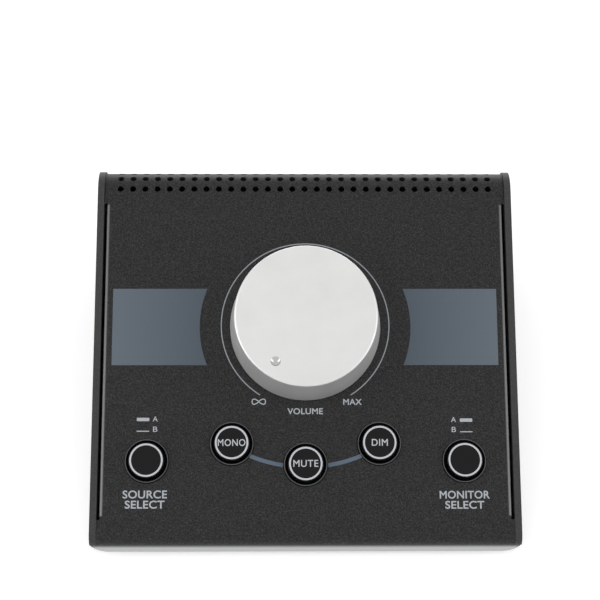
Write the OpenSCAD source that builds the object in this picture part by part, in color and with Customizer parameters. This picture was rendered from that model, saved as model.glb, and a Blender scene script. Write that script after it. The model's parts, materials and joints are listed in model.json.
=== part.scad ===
// Desktop monitor controller: a sloped sheet-metal case with one large dial,
// five push buttons on its face and eight 6.35 mm sockets in its rear panel.
// X runs across the case, Y to the rear, Z up. The origin is on the desk,
// under the centre of the overall length and width.

/* [Case] */
// Overall width, outside the side plates
case_w = 145; // [142:1:160]
// Slope of the control face, in degrees
slope = 22; // [20:1:25]
// Length of the flat control face, between its two bends
face_len = 119.7; // [119:0.1:128]
// Distance up the face from the nose bend to the dial's axis
dial_up = 70.7; // [68:0.1:74]
// Outer radius of the bend at the top rear
rear_bend_r = 8.1; // [7:0.1:9]
// Outer radius of the nose bend
nose_r = 4; // [3.5:0.5:5]
// Height of the front strip, from the case's underside to the nose
front_h = 4.8; // [4:0.1:6]
// Radius of the lower corners of the front strip
front_corner_r = 6.5; // [6.5:0.5:9]
// Sheet thickness of the cover
cover_t = 1.2; // [1:0.1:1.5]
// Height of the cover's lip down the rear panel
lip_h = 6; // [5.5:0.5:8]
// Thickness of a side plate
side_t = 2.3; // [2:0.1:3]
// How far the side plates stand proud of the cover at the rear bend
side_proud = 0.6; // [0.5:0.1:1.2]
// Seam between a side plate and the sheets beside it
seam_gap = 0.1; // [0.05:0.05:0.2]
// Sheet thickness of the base tray
tray_t = 1.2; // [1:0.1:1.5]
// Height of the base tray's side flanges
flange_h = 10; // [9:0.5:12]
// Sheet thickness of the rear panel
panel_t = 1.2; // [1:0.1:1.5]
// Width of the rear panel's flanges
panel_flange = 9; // [8:0.5:10]
// Height of the rear panel's side flanges
panel_flange_h = 18; // [16:0.5:20]

/* [Edge slots] */
// Gap between the cover's folded edge and the side plate
slot_w = 0.9; // [0.6:0.1:1.2]
// Distance from either end of a slot to the bend beyond it
slot_end = 4.6; // [4:0.1:8]
// Outer radius of the folded edge
fold_r = 1.6; // [1.4:0.1:2]
// Depth of the folded edge below the face
fold_drop = 6; // [5:0.5:6.5]
// Radius of the relief hole at the upper end of a slot
relief_r = 0.65; // [0.55:0.05:0.8]
// Length of the square relief at the lower end of a slot
relief_len = 1.2; // [0.8:0.1:1.5]

/* [Vents] */
// Number of rows around the rear bend
vent_rows = 4; // [2:1:4]
// Spacing of the holes, along a row and from row to row
vent_pitch = 4.307; // [4:0.001:4.4]
// Radius of a vent hole
vent_r = 1.14; // [0.8:0.01:1.2]
// Distance from the start of the rear bend to the first row
vent_first = 0.5; // [0.4:0.1:0.6]
// Least distance from the sheet's edge to the end holes of a row
vent_side = 4.5; // [4:0.1:8]

/* [Dial] */
// Height of the dial's top above the face
dial_h = 18.3; // [17:0.1:20]
// Gap under the dial's rim
dial_gap = 0.5; // [0.4:0.1:1]
// Radius of the dial at its foot
dial_r = 25.85; // [25:0.05:28]
// Radius of the dial below its top edge
dial_top_r = 24.1; // [23.5:0.1:24.9]
// Radius of the rounded top edge
dial_edge_r = 0.8; // [0.5:0.1:1.5]
// Thickness of the dial's top
dial_top_t = 2.5; // [2:0.1:3]
// Radius of the bore under the dial
dial_bore_r = 22.3; // [21:0.1:22.6]
// Width of the pointer dimple
dimple_w = 3.4; // [2.5:0.1:4]
// Depth of the pointer dimple
dimple_depth = 0.8; // [0.5:0.1:1.2]
// Distance of the dimple from the dial's axis
dimple_at = 18.6; // [15:0.1:20]
// Angle from the top of the scale to either end of the dial's travel
dial_sweep = 147; // [135:0.5:150]
// Wall thickness of the plastic hub inside the dial
hub_wall = 1.8; // [1.5:0.1:2.5]
// Radius of the hub's boss
hub_boss_r = 6.5; // [6:0.1:8]

/* [Potentiometer] */
// Radius of the potentiometer's shaft
shaft_r = 3; // [3:0.1:3.2]
// Width across the shaft's flat
shaft_flat = 4.5; // [4.2:0.1:5]
// Radial running clearance around the shaft
shaft_play = 0.05; // [0.02:0.01:0.1]
// Height of the shaft's end above the face
shaft_end = 13; // [12:0.5:13.5]
// Outer radius of the threaded bushing
bushing_r = 3.6; // [3.5:0.1:4]
// Height of the bushing above the face
bushing_end = 5; // [4:0.5:5.5]
// Width across the flats of the bushing's nut
pot_nut_w = 10; // [9.5:0.5:12]
// Thickness of the bushing's nut
pot_nut_t = 2.2; // [2:0.1:2.5]
// Thickness of the bushing's washer
pot_washer_t = 0.5; // [0.4:0.1:0.8]
// Width of the potentiometer's square housing
pot_w = 17; // [16:0.5:20]
// Wall thickness of the potentiometer's housing
pot_wall = 1.3; // [1:0.1:1.5]

/* [Buttons] */
// Radius of the circle through the three middle buttons
button_arc_r = 47.6; // [46:0.1:50]
// Angle between neighbouring middle buttons on that circle
button_arc_a = 31.65; // [30:0.05:34]
// Distance of a select button from the side of the case
select_side = 18.83; // [18:0.01:22]
// Distance of a select button below the dial's axis
select_down = 46.4; // [45:0.05:48]
// Radius of a button's hole in the cover
hole_r = 7.65; // [7.6:0.05:8]
// Radial gap between the hole and the bezel
hole_gap = 0.3; // [0.25:0.05:0.45]
// Wall thickness of a bezel at its top
bezel_wall = 1.05; // [0.9:0.05:1.2]
// Height of a bezel above the face
bezel_h = 0.35; // [0.2:0.05:0.6]
// Width of the bezel's flange under the cover
bezel_flange = 1.8; // [1.5:0.1:2]
// Radial gap between a bezel and its cap
cap_gap = 0.3; // [0.3:0.05:0.4]
// Height of a cap's top above the face
cap_h = 2.6; // [2.4:0.1:4]
// Depth of a cap's skirt below the face
cap_skirt = 1; // [0.8:0.1:1.2]
// Radius of the rounded edge of a cap
cap_edge_r = 0.6; // [0.4:0.05:0.7]
// Width of the pale ring on a cap
ring_w = 0.5; // [0.4:0.05:0.8]
// Thickness of the pale ring
ring_t = 0.5; // [0.4:0.1:0.8]
// How far a button travels when pressed
button_travel = 1.8; // [1:0.1:2]
// Width of a square switch body
switch_w = 7.6; // [7:0.1:7.8]
// Depth of the switch body's top below the face
switch_top = 3.6; // [3.5:0.1:4]
// Radius of a switch's plunger
plunger_r = 1.6; // [1.4:0.1:1.8]
// Radial clearance around a plunger
plunger_play = 0.1; // [0.05:0.05:0.2]

/* [Boards] */
// Depth of the control board's top below the face
board_depth = 10; // [10:0.1:10.4]
// Thickness of both boards
board_t = 1.6; // [1.4:0.1:1.6]
// Gap between the control board and either side plate
board_side = 6.2; // [5.5:0.1:8]
// Distance up the face from the nose bend to the control board
board_front = 14; // [14:0.5:17]
// Gap between the control board and the socket board
board_rear = 5.7; // [4.5:0.1:8]
// Distance of the standoffs from the control board's edges
standoff_in = 5; // [4.5:0.5:7]
// Radius of a standoff under the cover
standoff_r = 2.5; // [2.2:0.1:3]
// Width of the ribbon cable
ribbon_w = 25; // [15:1:30]
// Thickness of the ribbon cable
ribbon_t = 0.9; // [0.8:0.1:1.2]
// Radius of the ribbon cable's bend
ribbon_r = 4; // [3:0.5:4.5]
// Length of the ribbon cable's level stretch
ribbon_run = 5.8; // [4:0.1:7]

/* [Sockets] */
// Radius of a socket's bore, for a 6.35 mm plug
jack_bore_r = 3.25; // [3.23:0.01:3.4]
// Outer radius of a socket's threaded sleeve
sleeve_r = 4.5; // [4.3:0.1:5]
// Radial clearance of the sleeve in the rear panel
sleeve_play = 0.1; // [0.05:0.05:0.2]
// Depth of the sleeve inside the socket body
sleeve_in = 3; // [2:0.5:4]
// Width of the shoulder that a sleeve seats on inside its body
sleeve_seat = 0.4; // [0.3:0.1:0.6]
// How far a sleeve stands out beyond its nut
sleeve_out = 0.7; // [0.5:0.1:1]
// Width across the flats of a sleeve's nut
jack_nut_w = 11; // [11:0.5:13]
// Thickness of a sleeve's nut
jack_nut_t = 2; // [2:0.1:2.5]
// Thickness of a sleeve's washer
jack_washer_t = 0.6; // [0.5:0.1:0.8]
// Width of a socket body
jack_w = 15; // [13:0.5:16]
// Height of a socket body
jack_h = 15.5; // [14:0.5:16]
// Length of a socket body
jack_len = 28; // [27:0.5:29]
// Distance of an end socket from the side of the case
jack_side = 27.5; // [26:0.5:30]
// Spacing of the two rows of sockets
jack_pitch_z = 18; // [17:0.5:19]
// Height of the lower row above the case's underside
jack_row = 11.5; // [11:0.5:12]

/* [Feet and screws] */
// Height of a rubber foot
foot_h = 3; // [2:0.5:5]
// Radius of a rubber foot
foot_r = 6.5; // [5:0.5:8]
// Distance of a foot's centre from the edges of the case
foot_inset = 14; // [12:1:18]
// Distance of the outer rear screws from the sides of the case
rear_screw_side = 12.5; // [11:0.5:14]
// Radius of the case screws' shanks
screw_r = 1.5; // [1.4:0.1:1.6]
// Radius of the case screws' heads
screw_head_r = 2.9; // [2.7:0.1:3.2]
// Height of the case screws' heads
screw_head_t = 1.6; // [1.4:0.1:1.9]
// Radius of the board screws' shanks
board_screw_r = 1.25; // [1.1:0.05:1.3]
// How far the case screws reach past the sheets that they hold
screw_tip = 2.5; // [2:0.1:3]
// Radial clearance of the screws in their untapped holes
screw_play = 0.1; // [0.05:0.05:0.2]

/* [Hidden] */
$fn = 64;
BUTTONS = ["source", "mono", "mute", "dim", "monitor"];
JACKS = [for (row = ["lower", "upper"]) for (col = [1 : 4]) str(row, "_", col)];

cut = 1; // how far a cutting shape runs past the solid it cuts
bend_ease = 1.5; // degrees by which each end of a bend's arc stays short of its straight
sin_s = sin(slope);
cos_s = cos(slope);

// Side view of the case: points are [y, z]
case_d = nose_r * (1 - sin_s) + face_len * cos_s + rear_bend_r * (1 + sin_s);
jack_reach = jack_washer_t + jack_nut_t + sleeve_out - cover_t;
front_y = -(case_d + jack_reach) / 2;
rear_y = front_y + case_d;
under_z = foot_h;
floor_z = under_z + tray_t;
nose_y = front_y + nose_r;
nose_z = under_z + front_h;
face_y = nose_y - nose_r * sin_s;
face_z = nose_z + nose_r * cos_s;
dial_y = face_y + dial_up * cos_s;
dial_z = face_z + dial_up * sin_s;
bend_y = face_y + face_len * cos_s + rear_bend_r * sin_s;
bend_z = face_z + face_len * sin_s - rear_bend_r * cos_s;
panel_y = rear_y - cover_t - panel_t; // inner face of the rear panel
panel_flange_z = bend_z - rear_bend_r - panel_flange_h; // foot of its side flanges

// Across the case
side_in = case_w / 2 - side_t;
sheet_half = side_in - seam_gap;
fold_x = side_in - slot_w;
slot_up = face_len - dial_up - slot_end; // ends of a slot, from the dial's axis
slot_down = dial_up - slot_end;
select_x = case_w / 2 - select_side;
jack_pitch_x = (case_w - 2 * jack_side) / 3;
vent_count = floor(2 * (sheet_half - vent_side) / vent_pitch) + 1;

// Inside the dial
pot_top = -cover_t;
pot_bottom = -board_depth;
rotor_gap = 0.2;
rotor_t = 3.6;
rotor_r = pot_w / 2 - pot_wall - 0.3;
seat_depth = 4.2; // depth of the bushing's foot inside the housing
hub_gap = 0.3;
hub_top = dial_h - dial_top_t;
hub_skirt = 3;
hub_plate_t = 2;
hub_ribs = 6;
rib_t = 1.5;

// Inside a button
bezel_r = hole_r - hole_gap;
bezel_in = bezel_r - bezel_wall;
bezel_flange_t = 1;
bezel_drop = 1.8;
bezel_funnel = 0.5;
cap_r = bezel_in - cap_gap;
cap_wall = 1.1;
cap_top_t = 1.6;
cap_boss_r = plunger_r + 1;
ring_r = cap_r - cap_edge_r;
plunger_seat = 0.8; // the plunger's end, below the cap's ceiling
plunger_in = 2.6; // length of the plunger inside its switch
switch_floor = 0.3; // room left under the plunger when it is pressed

// Boards, their screws and the cable between them
header_h = 6;
header_t = 4.5;
jack_board_y = panel_y - jack_len;
board_w = 2 * (side_in - board_side);
board_down = dial_up - board_front; // ends of the control board, from the dial's axis
board_up = (jack_board_y - board_t - board_rear - dial_y - (board_depth + board_t) * sin_s) / cos_s;
header_depth = board_depth + board_t + header_h;
header_y = jack_board_y - board_t - header_h - ribbon_run - ribbon_r * cos_s;
header_up = (header_y - dial_y - header_depth * sin_s) / cos_s; // control board's header
standoff_spots = [
    [board_w / 2 - standoff_in, board_up - standoff_in],
    [(select_x + button_arc_r * sin(button_arc_a)) / 2, standoff_in - board_down]
];
board_screw_head_r = 2.3;
board_screw_head_t = 1.5;
board_screw_len = 5;
ribbon_a = [header_y, dial_z + header_up * sin_s - header_depth * cos_s];
ribbon_b = [ribbon_a[0] + ribbon_r * cos_s, ribbon_a[1] - ribbon_r * (1 - sin_s)];

// Case screws
tray_screw_z = under_z + flange_h * 0.65;
flange_y0 = face_y + (under_z + flange_h + fold_drop / cos_s + 1 - face_z) * cos_s / sin_s;
flange_y1 = panel_y - panel_flange - 3;
side_spots = [
    [flange_y0 + 6, tray_screw_z],
    [flange_y1 - 6, tray_screw_z],
    [panel_y - panel_flange / 2, panel_flange_z + panel_flange_h * 2 / 3]
];
rear_screw_z = bend_z - lip_h / 2;
rear_screw_xs = [rear_screw_side - case_w / 2, 0, case_w / 2 - rear_screw_side];
base_screw_xs = [-jack_pitch_x, 0, jack_pitch_x];
base_screw_y = panel_y - panel_flange / 2;

function button_spot(i) =
    i == 0 ? [-select_x, -select_down] :
    i == 4 ? [select_x, -select_down] :
    [button_arc_r * sin((i - 2) * button_arc_a), -button_arc_r * cos((i - 2) * button_arc_a)];

function jack_spot(i) =
    [(i % 4 - 1.5) * jack_pitch_x, under_z + jack_row + floor(i / 4) * jack_pitch_z];

// Frames of reference: the face at the dial's axis, one button and one socket
module on_face(x = 0, up = 0, h = 0)
    translate([0, dial_y, dial_z]) rotate([slope, 0, 0]) translate([x, up, h]) children();

module on_button(i) on_face(button_spot(i)[0], button_spot(i)[1]) children();

module on_jack(i) // Z of the child points out of the rear, from the panel's inner face
    translate([jack_spot(i)[0], panel_y, jack_spot(i)[1]]) rotate([-90, 0, 0]) children();

module across(w) // a side view [y, z], made w wide about the centre line
    rotate([90, 0, 90]) linear_extrude(height = w, center = true) children();

module both_sides() {
    children();
    mirror([1, 0, 0]) children();
}

module tube(r_out, r_in, z0, z1)
    difference() {
        translate([0, 0, z0]) cylinder(r = r_out, h = z1 - z0);
        translate([0, 0, z0 - cut]) cylinder(r = r_in, h = z1 - z0 + 2 * cut);
    }

module hex_nut(flats, r_in, z0, z1)
    difference() {
        translate([0, 0, z0]) cylinder(r = flats / 2 / cos(30), h = z1 - z0, $fn = 6);
        translate([0, 0, z0 - cut]) cylinder(r = r_in, h = z1 - z0 + 2 * cut);
    }

// What a bend of radius r about c takes off its corner, between directions a0 and a1
module bend_corner(c, r, a0, a1) {
    b0 = a0 + bend_ease;
    b1 = a1 - bend_ease;
    mid = (b0 + b1) / 2;
    difference() {
        polygon([
            c,
            c + 2 * r * [cos(b0), sin(b0)],
            c + 3 * r * [cos(mid), sin(mid)],
            c + 2 * r * [cos(b1), sin(b1)]
        ]);
        translate(c) circle(r = r);
    }
}

// Outline of the case in side view. nose_off and rear_off move the two bends outwards.
module case_outline(nose_off, rear_off, low) {
    nr = nose_r + nose_off;
    rr = rear_bend_r + rear_off;
    nose = [nose_y, nose_z];
    bend = [bend_y, bend_z];
    step = bend - nose;
    run = sqrt(step * step - (nr - rr) * (nr - rr));
    a = atan2(step[1], step[0]) - atan2(nr - rr, run); // slope of the line over both bends
    difference() {
        polygon([
            [nose_y - nr, low],
            nose + nr / cos(45 - a / 2) * [cos(135 + a / 2), sin(135 + a / 2)],
            bend + rr / cos(45 + a / 2) * [cos(45 + a / 2), sin(45 + a / 2)],
            [bend_y + rr, low]
        ]);
        bend_corner(nose, nr, 90 + a, 180);
        bend_corner(bend, rr, 0, 90 + a);
    }
}

module rounded_corner(r) // what a radius takes off the corner at the origin
    difference() {
        translate([-cut, -cut]) square([r + cut, r + cut]);
        translate([r, r]) circle(r = r);
    }

// ---- Case

module cover_profile()
    difference() {
        case_outline(0, 0, nose_z);
        case_outline(-cover_t, -cover_t, nose_z - cut);
        translate([rear_y - cover_t - cut, nose_z - cut])
            square([cover_t + 2 * cut, bend_z - lip_h - nose_z + cut]);
    }

module cover_edge_cut() // the slot beside one side plate, with its two reliefs
    on_face() {
        translate([fold_x - fold_r, -slot_down + relief_len, -2 * cover_t])
            cube([fold_r + slot_w + cut, slot_up + slot_down - relief_len - relief_r, 3 * cover_t]);
        translate([fold_x - relief_r / 2, -slot_down, -2 * cover_t])
            cube([slot_w + relief_r / 2 + cut, relief_len + cut, 3 * cover_t]);
        translate([fold_x + relief_r / 2, slot_up - relief_r, -2 * cover_t])
            cylinder(r = relief_r, h = 3 * cover_t);
    }

module cover_fold() // the rounded edge and the flange below it, along one slot
    on_face(0, slot_up - relief_r)
        rotate([90, 0, 0])
            linear_extrude(height = slot_up + slot_down - relief_len - relief_r) {
                translate([fold_x - fold_r, -fold_r])
                    intersection() {
                        difference() {
                            circle(r = fold_r);
                            circle(r = fold_r - cover_t);
                        }
                        square([fold_r, fold_r]);
                    }
                translate([fold_x - cover_t, -fold_drop]) square([cover_t, fold_drop - fold_r]);
            }

module vent_holes() {
    row_w = (vent_count - 1) * vent_pitch;
    for (row = [0 : vent_rows - 1]) {
        around = (vent_first + row * vent_pitch) / rear_bend_r * 180 / PI;
        for (i = [0 : vent_count - 1])
            translate([i * vent_pitch - row_w / 2, bend_y, bend_z])
                rotate([slope - around, 0, 0])
                    translate([0, 0, rear_bend_r - 2 * cover_t])
                        cylinder(r = vent_r, h = 3 * cover_t, $fn = 24);
    }
}

module top_cover()
    color("#343434") {
        difference() {
            across(2 * sheet_half) cover_profile();
            both_sides() cover_edge_cut();
            vent_holes();
            on_face(0, 0, -2 * cover_t) cylinder(r = bushing_r + screw_play, h = 3 * cover_t);
            for (i = [0 : 4]) on_button(i)
                translate([0, 0, -2 * cover_t]) cylinder(r = hole_r, h = 3 * cover_t);
            for (x = rear_screw_xs) translate([x, rear_y + cut, rear_screw_z])
                rotate([90, 0, 0]) cylinder(r = screw_r + screw_play, h = 2 * cut + cover_t);
        }
        both_sides() cover_fold();
    }

module side_screw_cut()
    for (spot = side_spots) translate([case_w / 2, spot[0], spot[1]]) rotate([0, -90, 0]) {
        translate([0, 0, -cut]) cylinder(r = screw_r + screw_play, h = side_t + 2 * cut);
        translate([0, 0, -cut])
            cylinder(r1 = screw_head_r + cut, r2 = screw_head_r - screw_head_t, h = screw_head_t + cut);
    }

module side_plate()
    difference() {
        translate([side_in + side_t / 2, 0, 0]) across(side_t)
            difference() {
                case_outline(0, side_proud, under_z);
                translate([front_y - cut, under_z - cut])
                    square([tray_t + seam_gap + cut, front_h + cut]);
                translate([front_y + tray_t + seam_gap, under_z]) rounded_corner(3);
                translate([rear_y + side_proud, under_z]) mirror([1, 0]) rounded_corner(3);
            }
        side_screw_cut();
    }

module left_side_plate() color("#444444") mirror([1, 0, 0]) side_plate();

module right_side_plate() color("#444444") side_plate();

module front_strip() // the tray's front wall, with its lower corners rounded
    translate([0, front_y + tray_t, 0]) rotate([90, 0, 0]) linear_extrude(height = tray_t)
        intersection() {
            translate([-case_w / 2, under_z]) square([case_w, front_h]);
            union() {
                translate([-case_w / 2, under_z + front_corner_r]) square([case_w, front_h]);
                translate([-case_w / 2 + front_corner_r, under_z])
                    square([case_w - 2 * front_corner_r, front_h + front_corner_r]);
                for (s = [-1, 1])
                    translate([s * (case_w / 2 - front_corner_r), under_z + front_corner_r])
                        circle(r = front_corner_r);
            }
        }

module base_tray()
    color("#a9abad") difference() {
        union() {
            front_strip();
            translate([-sheet_half, front_y + tray_t / 2, under_z])
                cube([2 * sheet_half, panel_y + panel_t - front_y - tray_t / 2, tray_t]);
            both_sides() translate([sheet_half - tray_t, flange_y0, under_z])
                cube([tray_t, flange_y1 - flange_y0, flange_h]);
        }
        for (x = base_screw_xs) translate([x, base_screw_y, under_z - cut])
            cylinder(r = screw_r + screw_play, h = tray_t + 2 * cut);
        both_sides() side_screw_taps();
    }

module side_screw_taps() // tapped holes in the flanges behind a side plate
    for (spot = side_spots) translate([side_in + cut, spot[0], spot[1]])
        rotate([0, -90, 0]) cylinder(r = screw_r, h = tray_t + panel_t + 2 * cut);

module rear_panel()
    color("#3a3a3a") difference() {
        union() {
            translate([-sheet_half, panel_y, floor_z])
                cube([2 * sheet_half, panel_t, bend_z - 0.3 - floor_z]);
            translate([-sheet_half + 5, panel_y - panel_flange, floor_z])
                cube([2 * sheet_half - 10, panel_flange + panel_t / 2, panel_t]);
            both_sides() translate([sheet_half - panel_t, panel_y - panel_flange, panel_flange_z])
                cube([panel_t, panel_flange + panel_t / 2, panel_flange_h]);
        }
        for (i = [0 : 7]) on_jack(i)
            translate([0, 0, -cut]) cylinder(r = sleeve_r + sleeve_play, h = panel_t + 2 * cut);
        for (x = base_screw_xs) translate([x, base_screw_y, floor_z - cut])
            cylinder(r = screw_r, h = panel_t + 2 * cut);
        for (x = rear_screw_xs) translate([x, rear_y, rear_screw_z])
            rotate([90, 0, 0]) cylinder(r = screw_r, h = cover_t + panel_t + cut);
        both_sides() side_screw_taps();
    }

module rubber_feet()
    color("#1c1c1c") both_sides() for (y = [front_y + foot_inset, rear_y - foot_inset])
        translate([case_w / 2 - foot_inset, y, 0])
            cylinder(r1 = foot_r - 0.5, r2 = foot_r, h = foot_h);

// ---- Dial and potentiometer

module knob_cap()
    color("#dededc") on_face() rotate([0, 0, dial_sweep]) difference() {
        rotate_extrude() difference() {
            union() {
                polygon([
                    [0, dial_gap],
                    [dial_r, dial_gap],
                    [dial_top_r, dial_h - dial_edge_r],
                    [dial_top_r - dial_edge_r, dial_h],
                    [0, dial_h]
                ]);
                translate([dial_top_r - dial_edge_r, dial_h - dial_edge_r]) circle(r = dial_edge_r);
            }
            square([dial_bore_r, hub_top]);
            translate([-2 * dial_r, 0]) square([2 * dial_r, 2 * dial_h]);
        }
        dimple_sphere_r = (pow(dimple_w / 2, 2) + pow(dimple_depth, 2)) / (2 * dimple_depth);
        translate([0, dimple_at, dial_h + dimple_sphere_r - dimple_depth])
            sphere(r = dimple_sphere_r);
    }

module shaft_section() // the shaft's round end with its flat
    intersection() {
        circle(r = shaft_r);
        translate([-shaft_r, shaft_r - shaft_flat]) square([2 * shaft_r, shaft_flat]);
    }

module knob_hub()
    color("#202020") on_face() rotate([0, 0, dial_sweep]) difference() {
        union() {
            rotate_extrude() polygon([
                [0, bushing_end + hub_gap],
                [hub_boss_r, bushing_end + hub_gap],
                [hub_boss_r, hub_top - hub_plate_t],
                [dial_bore_r - hub_wall, hub_top - hub_plate_t],
                [dial_bore_r - hub_wall, hub_skirt],
                [dial_bore_r, hub_skirt],
                [dial_bore_r, hub_top],
                [0, hub_top]
            ]);
            for (k = [0 : hub_ribs - 1]) rotate([0, 0, (k + 0.5) * 360 / hub_ribs])
                translate([hub_boss_r - 1, -rib_t / 2, bushing_end + 1])
                    cube([dial_bore_r - hub_wall / 2 - hub_boss_r + 1, rib_t,
                        hub_top - hub_plate_t / 2 - bushing_end - 1]);
        }
        translate([0, 0, bushing_end]) linear_extrude(height = shaft_end - bushing_end)
            shaft_section();
    }

module pot_shaft()
    color("#b9bbbd") on_face() rotate([0, 0, dial_sweep]) difference() {
        translate([0, 0, pot_bottom + rotor_gap + pot_wall])
            cylinder(r = shaft_r, h = shaft_end - pot_bottom - rotor_gap - pot_wall);
        translate([-shaft_r, -shaft_r, bushing_end])
            cube([2 * shaft_r, 2 * shaft_r - shaft_flat, shaft_end]);
    }

module pot_rotor()
    color("#8a6a3c") on_face()
        tube(rotor_r, shaft_r, pot_bottom + pot_wall + rotor_gap,
            pot_bottom + pot_wall + rotor_gap + rotor_t);

module pot_housing()
    color("#3f5d86") on_face() difference() {
        translate([-pot_w / 2, -pot_w / 2, pot_bottom]) cube([pot_w, pot_w, pot_top - pot_bottom]);
        translate([0, 0, pot_bottom + pot_wall])
            cylinder(r = pot_w / 2 - pot_wall, h = rotor_t + 2 * rotor_gap);
        translate([0, 0, pot_top - seat_depth]) cylinder(r = bushing_r, h = seat_depth + cut);
        cylinder(r = shaft_r + shaft_play, h = 2 * board_depth, center = true);
    }

module pot_bushing()
    color("#c9a54c") on_face()
        tube(bushing_r, shaft_r + shaft_play, pot_bottom + pot_wall + rotor_t + 2 * rotor_gap, bushing_end);

module pot_nut()
    color("#b9bbbd") on_face()
        hex_nut(pot_nut_w, bushing_r, pot_washer_t, pot_washer_t + pot_nut_t);

module pot_washer()
    color("#b9bbbd") on_face() tube(pot_nut_w / 2 + 0.5, bushing_r, 0, pot_washer_t);

// ---- Buttons

module button_cap(i)
    color("#1d1d1f") on_button(i) rotate_extrude() difference() {
        union() {
            translate([0, -cap_skirt]) square([cap_r, cap_h + cap_skirt - cap_edge_r]);
            square([ring_r, cap_h]);
            translate([ring_r, cap_h - cap_edge_r]) circle(r = cap_edge_r);
        }
        translate([ring_r - ring_w, cap_h - ring_t]) square([ring_w, ring_t + cut]);
        translate([cap_boss_r, -cap_skirt - cut])
            square([cap_r - cap_wall - cap_boss_r, cap_h + cap_skirt + cut - cap_top_t]);
        translate([0, -cap_skirt - cut])
            square([plunger_r, cap_h + cap_skirt + cut - cap_top_t - plunger_seat]);
    }

module button_ring(i)
    color("#c9cbce") on_button(i) tube(ring_r, ring_r - ring_w, cap_h - ring_t, cap_h);

module switch_plunger(i)
    color("#e4e2da") on_button(i) translate([0, 0, -switch_top - plunger_in])
        cylinder(r = plunger_r, h = switch_top + plunger_in + cap_h - cap_top_t - plunger_seat);

module button_bezel(i)
    color("#17181a") on_button(i) rotate_extrude() {
        polygon([
            [bezel_in, -cover_t - bezel_drop],
            [bezel_r, -cover_t - bezel_drop],
            [bezel_r, bezel_h - 0.2],
            [bezel_r - 0.2, bezel_h],
            [bezel_r - 0.45, bezel_h],
            [bezel_in, bezel_h - bezel_funnel - 0.3]
        ]);
        translate([bezel_r, -cover_t - bezel_flange_t]) square([bezel_flange, bezel_flange_t]);
    }

module switch_body(i)
    color("#2b2b2e") on_button(i) difference() {
        translate([-switch_w / 2, -switch_w / 2, -board_depth])
            cube([switch_w, switch_w, board_depth - switch_top]);
        translate([0, 0, -switch_top - plunger_in - button_travel - switch_floor])
            cylinder(r = plunger_r + plunger_play, h = 2 * board_depth);
    }

// ---- Sockets

module jack_body(i)
    color("#232325") on_jack(i) difference() {
        translate([-jack_w / 2, -jack_h / 2, -jack_len]) cube([jack_w, jack_h, jack_len]);
        translate([0, 0, -sleeve_in]) cylinder(r = sleeve_r, h = sleeve_in + cut);
        translate([0, 0, -jack_len + 1.2]) cylinder(r = sleeve_r - sleeve_seat, h = jack_len - 1.2 + cut);
    }

module jack_sleeves()
    color("#c4c6c8") for (i = [0 : 7]) on_jack(i)
        tube(sleeve_r, jack_bore_r, -sleeve_in,
            panel_t + jack_washer_t + jack_nut_t + sleeve_out);

module jack_nuts()
    color("#bfc1c3") for (i = [0 : 7]) on_jack(i)
        hex_nut(jack_nut_w, sleeve_r, panel_t + jack_washer_t, panel_t + jack_washer_t + jack_nut_t);

module jack_washers()
    color("#bfc1c3") for (i = [0 : 7]) on_jack(i)
        tube(jack_nut_w / 2 + 1, sleeve_r, panel_t, panel_t + jack_washer_t);

// ---- Boards and cable

module board_spots() both_sides() for (spot = standoff_spots) on_face(spot[0], spot[1]) children();

module control_board()
    color("#1f5a35") difference() {
        on_face(-board_w / 2, -board_down, -board_depth - board_t)
            cube([board_w, board_down + board_up, board_t]);
        board_spots() translate([0, 0, -board_depth - board_t - cut])
            cylinder(r = board_screw_r + screw_play, h = board_t + 2 * cut);
    }

module board_standoffs()
    color("#c9a54c") board_spots()
        tube(standoff_r, board_screw_r, -board_depth, -cover_t);

module board_screws()
    color("#b9bbbd") board_spots() translate([0, 0, -board_depth - board_t]) {
        translate([0, 0, -board_screw_head_t])
            cylinder(r = board_screw_head_r, h = board_screw_head_t);
        cylinder(r = board_screw_r, h = board_t + board_screw_len);
    }

module jack_board()
    color("#1f5a35")
        translate([-2 * jack_pitch_x, jack_board_y - board_t, floor_z + 1])
            cube([4 * jack_pitch_x, board_t, under_z + jack_row + jack_pitch_z + jack_h / 2 - floor_z - 1]);

module ribbon_headers()
    color("#2a2a2a") {
        on_face(-ribbon_w / 2 - 1, header_up - header_t / 2, -board_depth - board_t - header_h)
            cube([ribbon_w + 2, header_t, header_h]);
        translate([-ribbon_w / 2 - 1, jack_board_y - board_t - header_h, ribbon_b[1] - header_t / 2])
            cube([ribbon_w + 2, header_h, header_t]);
    }

module ribbon_cable() // down out of one header, round one bend and level into the other
    color("#8f9296") across(ribbon_w) {
        translate([ribbon_a[0] + ribbon_r * cos_s, ribbon_a[1] + ribbon_r * sin_s])
            intersection() {
                difference() {
                    circle(r = ribbon_r + ribbon_t / 2);
                    circle(r = ribbon_r - ribbon_t / 2);
                }
                polygon([
                    [0, 0],
                    [-3 * ribbon_r * cos_s, -3 * ribbon_r * sin_s],
                    [-3 * ribbon_r, -3 * ribbon_r],
                    [0, -3 * ribbon_r]
                ]);
            }
        translate([ribbon_b[0], ribbon_b[1] - ribbon_t / 2])
            square([jack_board_y - board_t - header_h - ribbon_b[0], ribbon_t]);
    }

// ---- Screws

module side_screws()
    color("#7d7f82") both_sides() for (spot = side_spots)
        translate([case_w / 2, spot[0], spot[1]]) rotate([0, -90, 0]) {
            cylinder(r1 = screw_head_r, r2 = screw_head_r - screw_head_t, h = screw_head_t);
            cylinder(r = screw_r, h = side_t + seam_gap + tray_t + screw_tip);
        }

module pan_screw(length) { // head below Z = 0, shank above
    translate([0, 0, -screw_head_t]) cylinder(r = screw_head_r, h = screw_head_t);
    cylinder(r = screw_r, h = length);
}

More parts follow.
